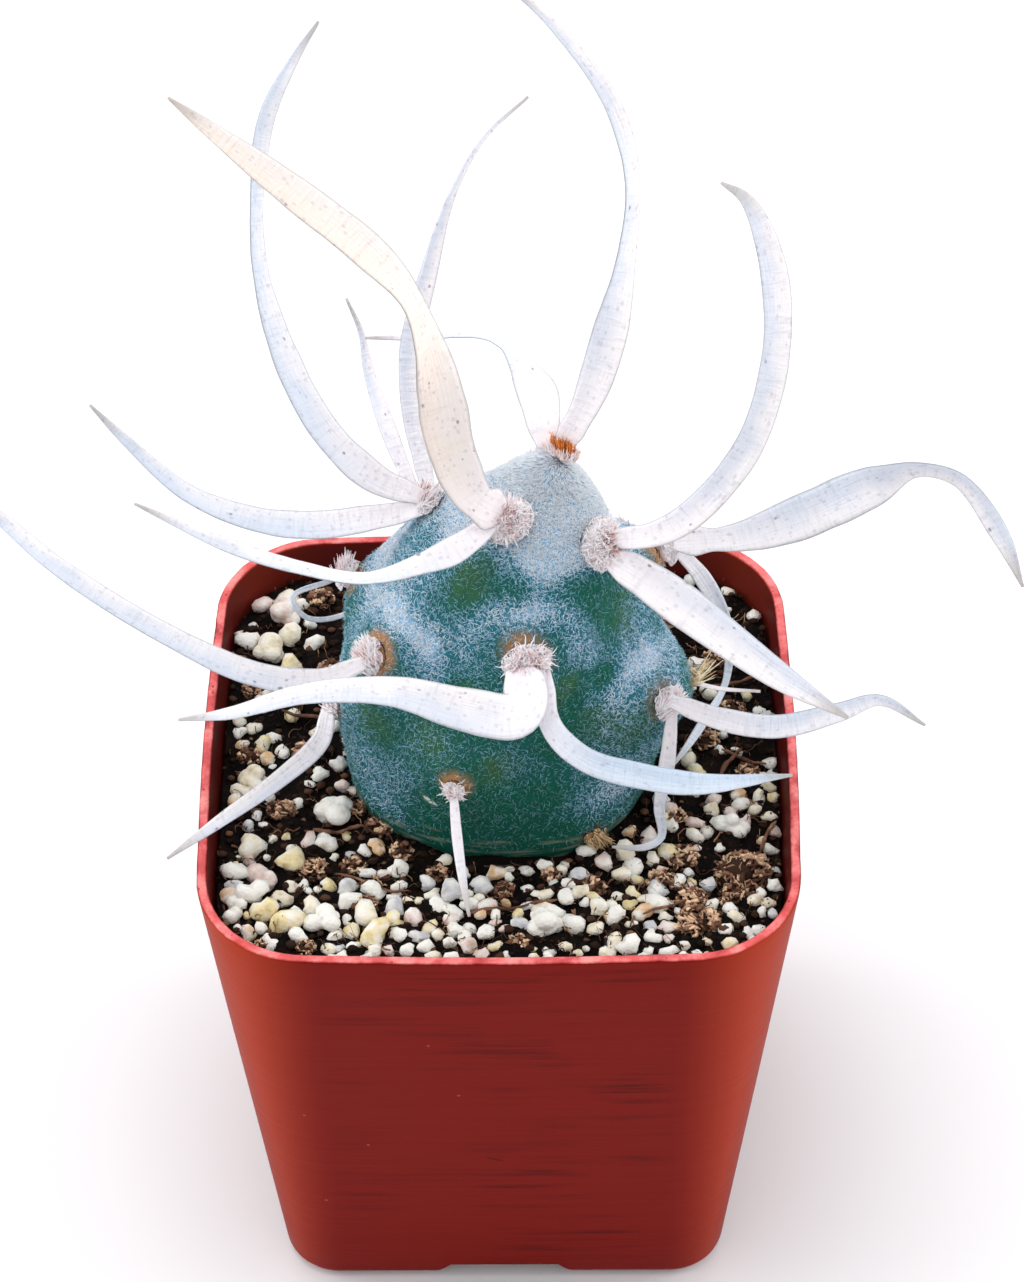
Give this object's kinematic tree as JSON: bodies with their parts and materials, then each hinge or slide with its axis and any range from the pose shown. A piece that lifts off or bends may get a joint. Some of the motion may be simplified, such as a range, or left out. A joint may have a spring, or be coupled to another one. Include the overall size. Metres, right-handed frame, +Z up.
{
  "type": "potted paper spine cactus",
  "caption": "Potted paper spine cactus: a blue-green tuberculate stem with woolly areoles and long flat papery spines, in potting mix in a square tapered plastic nursery pot.",
  "frame": {"origin": "middle of the pot's foot, on the surface it stands on", "axes": "+Z up, -Y towards the pot's front wall, +X to the right seen from the front"},
  "size_m": [0.1102, 0.0642, 0.1446],
  "materials": {
    "pot": "moulded brick-red polypropylene, satin, with faint drag marks and a paler rim",
    "soil": "near-black damp potting mix with fine bark and fibre",
    "stem": "blue-green skin under a dense bloom of very short white hairs",
    "wool": "pinkish cream wool with brown tips",
    "crown_wool": "tuft of orange glochids in short wool",
    "dry_wool": "dry brown wool",
    "spine": "bluish white papery blade, finely wrinkled, with small grey-brown specks",
    "cream_spine": "warm cream papery blade, finely wrinkled, with small dark specks",
    "perlite": "rough white to cream expanded perlite",
    "bark": "fibrous brown bark and coir"
  },
  "bodies": {
    "root": {"pot": "pot", "soil": "soil", "stem": "stem", "areole_crown": "crown_wool", "areole_front_high": "wool", "areole_right_high": "wool", "areole_left_high": "wool", "areole_right_shoulder": "wool", "areole_front_middle": "wool", "areole_left_middle": "wool", "areole_left_low": "wool", "areole_right_middle": "wool", "areole_right_side": "wool", "areole_front_low": "wool", "areole_left_shoulder": "wool", "areole_soil_right": "dry_wool", "areole_soil_left": "dry_wool", "areole_back_left_high": "wool", "areole_back_high": "wool", "areole_back_right_high": "wool", "areole_back_middle": "wool", "areole_back_right_low": "wool", "areole_back_left_low": "wool", "spine_crown_tall": "spine", "spine_crown_curl": "spine", "spine_front_cream": "cream_spine", "spine_front_left": "spine", "spine_right_arch": "spine", "spine_right_broad": "spine", "spine_left_tall": "spine", "spine_left_sweep": "spine", "spine_right_long": "spine", "spine_right_hook": "spine", "spine_front_broad": "spine", "spine_front_right": "spine", "spine_left_long": "spine", "spine_left_drooping": "spine", "spine_right_forward": "spine", "spine_right_bent": "spine", "spine_front_short": "spine", "spine_left_loop": "spine", "spine_right_needle": "spine", "spine_back_tall": "spine", "spine_back_left_curved": "spine", "spine_back_drooping": "spine", "spine_back_right_curved": "spine", "spine_back_left_drooping": "spine", "spine_back_low": "spine", "perlite_left_large": "perlite", "perlite_left_front": "perlite", "perlite_front_left": "perlite", "perlite_front": "perlite", "perlite_left_edge": "perlite", "perlite_back_left": "perlite", "perlite_left_back": "perlite", "perlite_right_front": "perlite", "bark_right": "bark", "bark_front": "bark"}
  },
  "joints": []
}
